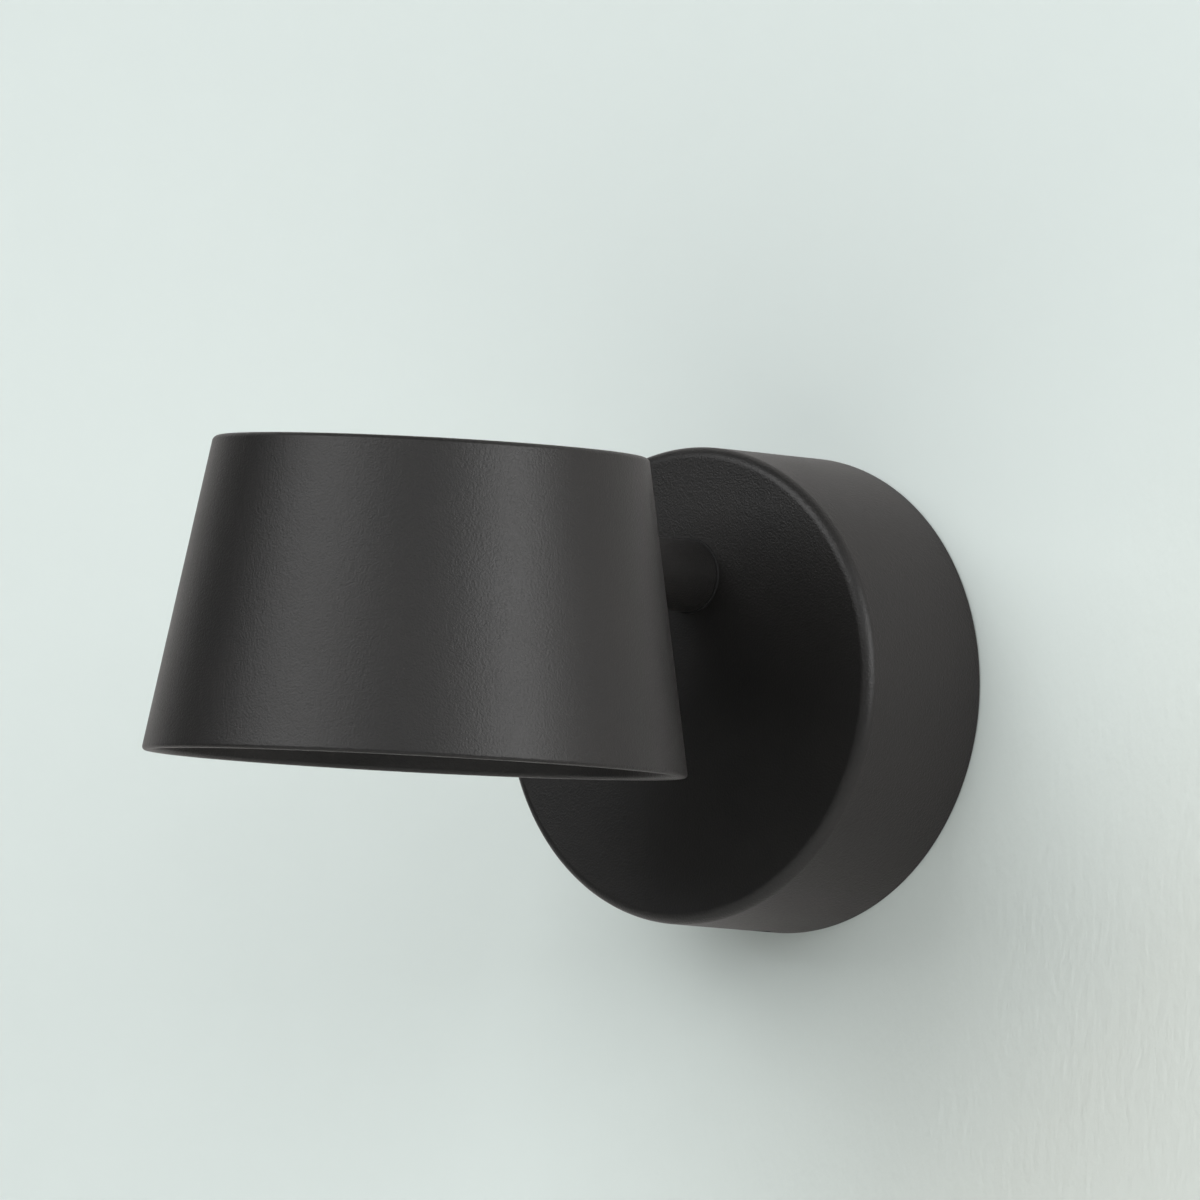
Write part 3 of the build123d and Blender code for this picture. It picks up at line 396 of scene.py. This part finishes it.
# %% Finishes by material slot
finishes = {
    "black_coat": powder_coat(),
    "black_plastic": moulded("black_nylon", (0.010, 0.010, 0.010), 0.60, gloss=0.22),
    "zinc_steel": plated("zinc_plated_sheet", (0.58, 0.59, 0.60), 0.28),
    "screw_steel": plated("bright_zinc", (0.62, 0.62, 0.62), 0.20, cloud=1.2 * MM),
    "black_steel": plated("black_oxide", (0.05, 0.05, 0.05), 0.34, cloud=1.5 * MM),
    "rubber": moulded("black_rubber", (0.022, 0.022, 0.022), 0.66, 0.5 * MM, 0.02 * MM),
    "white_nylon": moulded("natural_nylon", (0.78, 0.77, 0.72), 0.42),
    "driver_plastic": moulded("white_housing", (0.80, 0.80, 0.79), 0.46),
    "terminal_brass": plated("plain_brass", (0.74, 0.56, 0.27), 0.26, cloud=1.5 * MM),
    "pcb": board("green_board", (0.02, 0.13, 0.05), (0.60, 0.58, 0.52), 2.6 * MM),
    "ferrite": moulded("winding_tape", (0.62, 0.48, 0.10), 0.36),
    "capacitor": moulded("capacitor_sleeve", (0.03, 0.03, 0.07), 0.30),
    "sink": plated("cast_aluminium", (0.66, 0.67, 0.68), 0.40, cloud=5 * MM, grain=0.4 * MM, depth=0.02 * MM),
    "led_board": board("white_board", (0.84, 0.84, 0.82), (0.70, 0.68, 0.62), 5.0 * MM),
    "phosphor": phosphor(),
    "reflector_white": moulded("white_reflector", (0.86, 0.86, 0.85), 0.22),
    "opal": opal(),
    "live_core": moulded("brown_insulation", (0.13, 0.05, 0.02), 0.48),
    "neutral_core": moulded("blue_insulation", (0.02, 0.07, 0.34), 0.48),
    "earth_core": earth_sheath(),
    "sheath": moulded("white_sheath", (0.76, 0.76, 0.74), 0.50),
}
slot_of = {part["node"]: part["material_slot"] for part in frame["record"]["subparts"]}
for label, piece in nodes.items():
    for place in piece.material_slots:
        place.material = finishes[slot_of[label]]
print(len(finishes), "finishes on", len(nodes), "nodes")

# %% [markdown]
# ## Turned shells
#
# The shade is spun from sheet on a lathe and the canopy is a round casting, so both are made as
# they are in the workshop: an outline of a few corners is spun about the axis, and the corners
# that a tool or a die rounds are bevelled afterwards. Spinning 240 steps keeps the silhouette
# smooth at the size of the picture. Holes and bosses are added with booleans once the shell is
# closed, because they are the only places that aren't round. What is added or cut runs a little
# way into or past the shell, so that a boolean never has to join faces that only touch.

# %% Turning helpers
SPIN_STEPS = 240
ROD_STEPS = 96
SMALL_STEPS = 48
SHARP = math.radians(28)
SAME_POINT = 1e-6
SPIN_SEAM = 1e-7
sunk = 0.5 * MM


def spun(outline, centre, axis):
    """A closed solid of revolution: outline is (radius, distance along the axis) corners."""
    work = bmesh.new()
    side = axis.orthogonal().normalized()
    corners = [work.verts.new(centre + side * radius + axis * along) for radius, along in outline]
    edges = [work.edges.new(pair) for pair in zip(corners, corners[1:])]
    if outline[0][0] > 0:
        edges.append(work.edges.new((corners[-1], corners[0])))
    bmesh.ops.spin(
        work, geom=corners + edges, cent=centre, axis=axis, angle=math.tau, steps=SPIN_STEPS, use_merge=True
    )
    bmesh.ops.remove_doubles(work, verts=work.verts, dist=SPIN_SEAM)
    bmesh.ops.recalc_face_normals(work, faces=work.faces)
    return work


def round_ring(work, centre, axis, radius, along, size, segments):
    """Bevels the ring of edges at one corner of the outline."""
    def on_ring(point):
        offset = point - centre
        height = offset.dot(axis)
        across = (offset - axis * height).length
        return abs(height - along) < SAME_POINT and abs(across - radius) < SAME_POINT

    ring = [edge for edge in work.edges if all(on_ring(corner.co) for corner in edge.verts)]
    bmesh.ops.bevel(
        work, geom=ring, offset=size, offset_type="OFFSET", affect="EDGES",
        segments=segments, profile=0.5, material=-1, clamp_overlap=True,
    )


def rod(work, start, end, radius, steps=ROD_STEPS, end_radius=None):
    """A capped cylinder or cone between two points, added to a bmesh."""
    axis = end - start
    made = bmesh.ops.create_cone(
        work, cap_ends=True, segments=steps, radius1=radius,
        radius2=radius if end_radius is None else end_radius, depth=axis.length,
    )
    place = Matrix.Translation((start + end) / 2) @ axis.to_track_quat("Z", "Y").to_matrix().to_4x4()
    bmesh.ops.transform(work, matrix=place, verts=made["verts"])


def piece_from(work, name):
    mesh = bpy.data.meshes.new(name)
    work.to_mesh(mesh)
    work.free()
    piece = bpy.data.objects.new(name, mesh)
    scene.collection.objects.link(piece)
    return piece


def bake_modifiers(piece):
    """Replaces the mesh by the result of its modifiers."""
    bpy.context.view_layer.update()
    result = bpy.data.meshes.new_from_object(piece.evaluated_get(bpy.context.evaluated_depsgraph_get()))
    piece.modifiers.clear()
    piece.data = result


def combine(piece, tool_mesh, operation):
    """Adds or cuts away a second solid."""
    tool = piece_from(tool_mesh, piece.name + "_tool")
    step = piece.modifiers.new(operation, "BOOLEAN")
    step.operation = operation
    step.solver = "EXACT"
    step.use_self = True
    step.object = tool
    bake_modifiers(piece)
    bpy.data.objects.remove(tool)


def dress(piece, node):
    """Smooth shading with crisp corners, the node's finish and its body."""
    piece.data.materials.clear()
    piece.data.materials.append(finishes[slot_of[node]])
    for face in piece.data.polygons:
        face.use_smooth = True
        face.material_index = 0
    piece.data.set_sharp_from_angle(angle=SHARP)
    weigh = piece.modifiers.new("weighted_normals", "WEIGHTED_NORMAL")
    weigh.keep_sharp = True
    weigh.weight = 80
    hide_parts(node)
    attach(piece, nodes[node]["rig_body"])
    print(piece.name, len(piece.data.polygons), "faces")


# %% [markdown]
# ## The shade
#
# A truncated cone with a closed top. The wall is 2.2 mm thick and its lower rim is rounded on both
# sides, which draws the thin bright line round the mouth. Three posts under the top carry the
# light engine, and the arm's spigot goes through the back wall.

# %% Shade
up = Vector((0, 0, 1))
out = Vector((0, -1, 0))
shade_centre = Vector((0, -shade_reach, 0))
ceiling = shade_top - shade_lid
cone_slope = (shade_mouth_radius - shade_top_radius) / (shade_top - shade_mouth)
ceiling_radius = shade_top_radius + shade_lid * cone_slope - shade_wall
shade_outline = [
    (0, shade_top), (shade_top_radius, shade_top), (shade_mouth_radius, shade_mouth),
    (shade_mouth_radius - shade_wall, shade_mouth), (ceiling_radius, ceiling), (0, ceiling),
]
work = spun(shade_outline, shade_centre, up)
round_ring(work, shade_centre, up, shade_top_radius, shade_top, shade_top_round, 6)
round_ring(work, shade_centre, up, shade_mouth_radius, shade_mouth, shade_rim_round, 5)
round_ring(work, shade_centre, up, shade_mouth_radius - shade_wall, shade_mouth, shade_rim_round, 5)
shade = piece_from(work, "shade_shell")

sink_base = 4.0 * MM
post_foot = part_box("heat_sink")[0].z + sink_base
post_pitch, post_tip_radius, post_root_radius = 28.0 * MM, 3.5 * MM, 4.0 * MM
posts = bmesh.new()
for angle in (math.radians(30), math.radians(150), math.radians(270)):
    spot = shade_centre + post_pitch * Vector((math.cos(angle), math.sin(angle), 0))
    rod(
        posts, spot + up * post_foot, spot + up * (ceiling + sunk),
        post_tip_radius, SMALL_STEPS, post_root_radius,
    )
combine(shade, posts, "UNION")

arm_line = Vector((0, 0, arm_height))
spigot_hole_radius = 6.15 * MM
back_wall_start, back_wall_end = 65 * MM, 85 * MM
hole = bmesh.new()
rod(hole, arm_line + out * back_wall_start, arm_line + out * back_wall_end, spigot_hole_radius)
combine(shade, hole, "DIFFERENCE")
dress(shade, "shade")

# %% [markdown]
# ## The canopy
#
# A deep cup with a 2.5 mm rounding at its front edge, which is where the photograph's
# brightest line runs. Inside are the swivel's boss with a lobe for the stop pin, two bosses for
# the driver, one for the earth screw, and the nib that hooks into the wall plate. The lock
# screw's hole is at the bottom, out of sight.

# %% Canopy
wall_centre = Vector((0, 0, 0))
bore_radius = canopy_radius - canopy_wall
inside = canopy_depth - canopy_face
canopy_outline = [
    (0, canopy_depth), (canopy_radius, canopy_depth), (canopy_radius, 0),
    (bore_radius, 0), (bore_radius, inside), (0, inside),
]
work = spun(canopy_outline, wall_centre, out)
inner_round, back_edge_round = 1.0 * MM, 0.3 * MM
round_ring(work, wall_centre, out, canopy_radius, canopy_depth, canopy_round, 14)
round_ring(work, wall_centre, out, bore_radius, inside, inner_round, 4)
round_ring(work, wall_centre, out, canopy_radius, 0, back_edge_round, 3)
canopy = piece_from(work, "canopy_shell")

# %% [markdown]
# Each boss is a rod that starts at its own height and runs into the back of the face. The small
# ones differ only in place and length, so a list holds them and one loop adds them. The nib is a
# small block, placed half in the canopy's wall.

# %% Canopy bosses and holes
bearing_length, bearing_radius, bearing_bore = 9.0 * MM, 10.05 * MM, 7.07 * MM
bearing_end = canopy_depth - bearing_length
stop_pin_offset = 13.5 * MM
small_boss_radius, driver_boss_length, earth_boss_length = 3.5 * MM, 5.0 * MM, 8.0 * MM
bosses = bmesh.new()
rod(bosses, arm_line + out * bearing_end, arm_line + out * (inside + sunk), bearing_radius)

driver_spots = [Vector((side * MM, 0, -23.0 * MM)) for side in (-30.0, 30.0)]
earth_spot = Vector((-27.0 * MM, 0, 24.0 * MM))
small_bosses = [(arm_line + up * stop_pin_offset, bearing_end)]
small_bosses += [(spot, inside - driver_boss_length) for spot in driver_spots]
small_bosses.append((earth_spot, inside - earth_boss_length))
for spot, start in small_bosses:
    rod(bosses, spot + out * start, spot + out * (inside + sunk), small_boss_radius, SMALL_STEPS)

lock_reach = 7.5 * MM
nib_width, nib_thickness, nib_stand = 5.0 * MM, 2.0 * MM, 1.8 * MM
nib_foot, nib_tip = canopy_radius - canopy_wall / 2, bore_radius - nib_stand
nib = bmesh.ops.create_cube(bosses, size=1.0)
nib_place = Matrix.LocRotScale(
    Vector((0, -lock_reach, (nib_foot + nib_tip) / 2)), None, (nib_width, nib_thickness, nib_foot - nib_tip)
)
bmesh.ops.transform(bosses, matrix=nib_place, verts=nib["verts"])
combine(canopy, bosses, "UNION")

lock_hole_radius, lock_hole_end = 2.2 * MM, 45 * MM
lock_line = out * lock_reach
holes = bmesh.new()
rod(holes, arm_line + out * (bearing_end - sunk), arm_line + out * (canopy_depth + sunk), bearing_bore)
rod(
    holes, lock_line - up * (canopy_radius + sunk), lock_line - up * lock_hole_end,
    lock_hole_radius, SMALL_STEPS,
)
combine(canopy, holes, "DIFFERENCE")
dress(canopy, "canopy")

# %% [markdown]
# ## Bush, diffuser and ring
#
# The arm turns in a flanged bush. Its flange is the thin dark collar that shows where the arm
# leaves the canopy, with an edge just round enough to catch a hair of light. The diffuser is a
# disc with an eased lower edge, and the black ring that holds it has a lip below and a snap bead
# above. All three are small lathe work, so they are spun like the shells.

# %% Small turned pieces
bush_low, bush_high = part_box("swivel_bush")
flange_radius, flange_end = bush_high.x, -bush_low.y
flange_round = 0.12 * MM
bush_bore, bush_radius = 6.05 * MM, 7.05 * MM
bush = spun(
    [(bush_bore, bearing_end), (bush_radius, bearing_end), (bush_radius, canopy_depth),
     (flange_radius, canopy_depth), (flange_radius, flange_end), (bush_bore, flange_end)],
    arm_line, out,
)
round_ring(bush, arm_line, out, flange_radius, flange_end, flange_round, 3)
dress(piece_from(bush, "swivel_bush_turned"), "swivel_bush")

disc_low, disc_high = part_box("diffuser")
disc_radius, disc_round = disc_high.x, 0.4 * MM
disc = spun(
    [(0, disc_high.z), (disc_radius, disc_high.z), (disc_radius, disc_low.z), (0, disc_low.z)],
    shade_centre, up,
)
round_ring(disc, shade_centre, up, disc_radius, disc_low.z, disc_round, 3)
dress(piece_from(disc, "diffuser_disc"), "diffuser")

ring_low, ring_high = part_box("retaining_ring")
ring_radius, ring_inner, lip_radius = ring_high.x, 49.1 * MM, 45.5 * MM
lip_thickness, lip_round, ring_edge_round = 1.4 * MM, 0.5 * MM, 0.4 * MM
lip_top = ring_low.z + lip_thickness
bead_height, bead_depth = 1.6 * MM, 0.8 * MM
bead_top, bead_low = ring_high.z, ring_high.z - bead_height
ring = spun(
    [(lip_radius, ring_low.z), (ring_radius, ring_low.z), (ring_radius, bead_top), (ring_inner, bead_top),
     (ring_inner - bead_depth, bead_top - bead_depth), (ring_inner - bead_depth, bead_low),
     (ring_inner, bead_low), (ring_inner, lip_top), (lip_radius, lip_top)],
    shade_centre, up,
)
round_ring(ring, shade_centre, up, lip_radius, ring_low.z, lip_round, 4)
round_ring(ring, shade_centre, up, ring_radius, ring_low.z, ring_edge_round, 4)
dress(piece_from(ring, "retaining_ring_turned"), "retaining_ring")

# %% [markdown]
# ## Smooth copies of the other nodes
#
# The other nodes already have the right shape, but their meshes are loose triangles, so curved
# faces would shade as facets. A copy is merged, keeps its corners sharp by angle, and replaces the
# node it came from.


# %% Smooth copies
def smooth_copy(node):
    work = bmesh.new()
    work.from_mesh(nodes[node].data)
    bmesh.ops.remove_doubles(work, verts=work.verts, dist=SAME_POINT)
    dress(piece_from(work, node + "_smooth"), node)


turned = {"shade", "canopy", "swivel_bush", "diffuser", "retaining_ring"}
for label in sorted(set(nodes) - turned):
    smooth_copy(label)

# %% [markdown]
# ## Wall and floor
#
# The light hangs on a pale, slightly green-white wall. The wall is part of the stage, not of the
# object, and it has to stay out of the way when the object is looked at from behind: it has a
# round hole behind the canopy, and its back is see-through. The floor has the same see-through
# back and lies far enough below to stay out of the picture.
#
# The camera sees the green-white paint, but the light that the wall throws back is neutral, as the
# reflections on the real light are. Towards the lower right the plaster under the paint is rougher,
# and there the paint is also darkened and greyed as a painted shadow, so a mask that grows that way
# scales the trowel marks and this painted shade.


# %% Stage
def one_sided(finish):
    """Makes a stage surface vanish when it is seen from its back."""
    tree = finish.tree
    back = finish.node("ShaderNodeNewGeometry", output="Backfacing")
    clear = finish.node("ShaderNodeBsdfTransparent")
    shown = tree.nodes["Principled BSDF"].outputs[0]
    blend = finish.node("ShaderNodeMixShader", None, {0: back, 1: Field(finish, shown), 2: clear})
    tree.links.new(blend.socket, tree.nodes["Material Output"].inputs[0])
    return finish.material


def wall_paint(name, seen, bounced):
    """Paint of one colour to the camera, and of another to the light that it throws back."""
    finish = Finish(name, Roughness=0.85)
    # This mask grows towards the lower right. It scales the trowel marks, and it also scales a painted shadow
    # that darkens and greys the paint there.
    painted_shade_and_relief_mask = (6.0 * finish.along("X") - 5.0 * finish.along("Z")).maths("MAXIMUM", 0.05).maths("MINIMUM", 0.9)
    trowel = finish.noise(2.2 * MM, 3.0, stretch=(1, 1, 0.5))
    roller = finish.noise(14 * MM, 2.0)
    looked_at = finish.node("ShaderNodeLightPath", output="Is Camera Ray")
    fresh = finish.mix(roller, seen, tuple(0.985 * part for part in seen))
    # Painted shadow: the paint is darkened and greyed towards the lower right, where the shade falls.
    painted_shadow_tint = tuple(part * fade for part, fade in zip(seen, (0.93, 0.89, 0.86)))
    paint_with_painted_shade = finish.mix(painted_shade_and_relief_mask * painted_shade_and_relief_mask, fresh, painted_shadow_tint)
    finish.colour(finish.mix(looked_at, bounced, paint_with_painted_shade))
    finish.bump(painted_shade_and_relief_mask * trowel + 0.1 * roller, 0.26 * MM, 0.9)
    return one_sided(finish)


def stage_plane(name, centre, size, facing, hole, finish):
    """A square that faces one way, with a round hole in it if hole is above 0."""
    work = bmesh.new()
    bmesh.ops.create_grid(work, x_segments=1, y_segments=1, size=size / 2)
    if hole > 0:
        bmesh.ops.delete(work, geom=work.faces[:], context="FACES_ONLY")
        bmesh.ops.create_circle(work, cap_ends=False, segments=128, radius=hole)
        bmesh.ops.triangle_fill(work, use_beauty=True, edges=work.edges[:])
    place = Matrix.Translation(centre) @ facing.to_track_quat("Z", "Y").to_matrix().to_4x4()
    bmesh.ops.transform(work, matrix=place, verts=work.verts)
    for face in work.faces:
        face.normal_update()
        if face.normal.dot(facing) < 0:
            face.normal_flip()
    piece = piece_from(work, name)
    piece.data.materials.append(finish)
    piece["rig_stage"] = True
    print(name, len(piece.data.polygons), "faces")


wall_colour, wall_bounce = (0.690, 0.762, 0.740), (0.80, 0.78, 0.76)
wall_size, wall_gap, hole_overlap = 5.0, 0.2 * MM, 1.0 * MM
stage_plane(
    "wall", Vector((0, wall_gap, 0)), wall_size, out, canopy_radius - hole_overlap,
    wall_paint("wall_paint", wall_colour, wall_bounce),
)
floor_colour = (0.78, 0.78, 0.76)
floor_size, floor_drop = 2.8, 0.75
stage_plane(
    "floor", Vector((0, -floor_size / 2, -floor_drop)), floor_size, up, 0,
    wall_paint("floor_paint", floor_colour, floor_colour),
)

# %% [markdown]
# ## Light
#
# What a satin black surface shows is mostly the room. The shade's left highlight mirrors a broad
# window a little left of straight ahead, its right one mirrors a second window beside the wall,
# and between them lies the dimmer room behind the camera. So there are three soft panels and a dim
# world. A fourth panel, behind the wall, lights the back for the views from there, and the wall
# keeps its light away from the front. The panels are wide and far, which keeps the wall even and
# the shadow soft, and their strengths put a surface about as bright as its colour is written. The
# world shows pale to the camera alone, so that other views have a pale background too.


# %% Lamps and world
def softbox(name, azimuth, elevation, distance, width, height, radiance, target=(0, -0.08, 0)):
    """A panel this bright, in units where a white surface in full light has 1."""
    lamp = bpy.data.objects.new(name, bpy.data.lights.new(name, "AREA"))
    lamp.data.shape = "RECTANGLE"
    lamp.data.size = width
    lamp.data.size_y = height
    lamp.data.energy = radiance * math.pi * width * height
    direction = outward(math.radians(azimuth), math.radians(elevation))
    lamp.matrix_world = Matrix.LocRotScale(
        Vector(target) + direction * distance, aimed(-direction).to_quaternion(), None
    )
    scene.collection.objects.link(lamp)
    print(name, round(lamp.data.energy, 1), "W")


softbox("window", -16, 27, 2.9, 2.4, 2.0, 4.3)
softbox("side_window", 83, 18, 2.3, 0.8, 1.1, 11.8)
softbox("room_behind", 42, 27, 2.9, 2.3, 1.8, 1.4)
softbox("bench_lamp", 165, 8, 2.4, 3.4, 2.2, 1.5)

world = bpy.data.worlds.new("room")
scene.world = world
world.use_nodes = True
room = world.node_tree
paths = room.nodes.new("ShaderNodeLightPath")
dim = room.nodes["Background"]
dim.inputs["Color"].default_value = (0.93, 0.97, 1.0, 1.0)
dim.inputs["Strength"].default_value = 0.08
pale = room.nodes.new("ShaderNodeBackground")
pale.inputs["Color"].default_value = (0.86, 0.90, 0.88, 1.0)
mixer = room.nodes.new("ShaderNodeMixShader")
room.links.new(paths.outputs["Is Camera Ray"], mixer.inputs[0])
room.links.new(dim.outputs[0], mixer.inputs[1])
room.links.new(pale.outputs[0], mixer.inputs[2])
room.links.new(mixer.outputs[0], room.nodes["World Output"].inputs[0])

# %% [markdown]
# ## Finish
#
# The size of the dressed model is worked out from its box and printed, because the dressed model
# has to keep the real size.

# %% Dressed size
dressed_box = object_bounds()
dressed_size = Vector(dressed_box[1]) - Vector(dressed_box[0])
print("size of the dressed model, mm:", [round(side / MM, 2) for side in dressed_size])
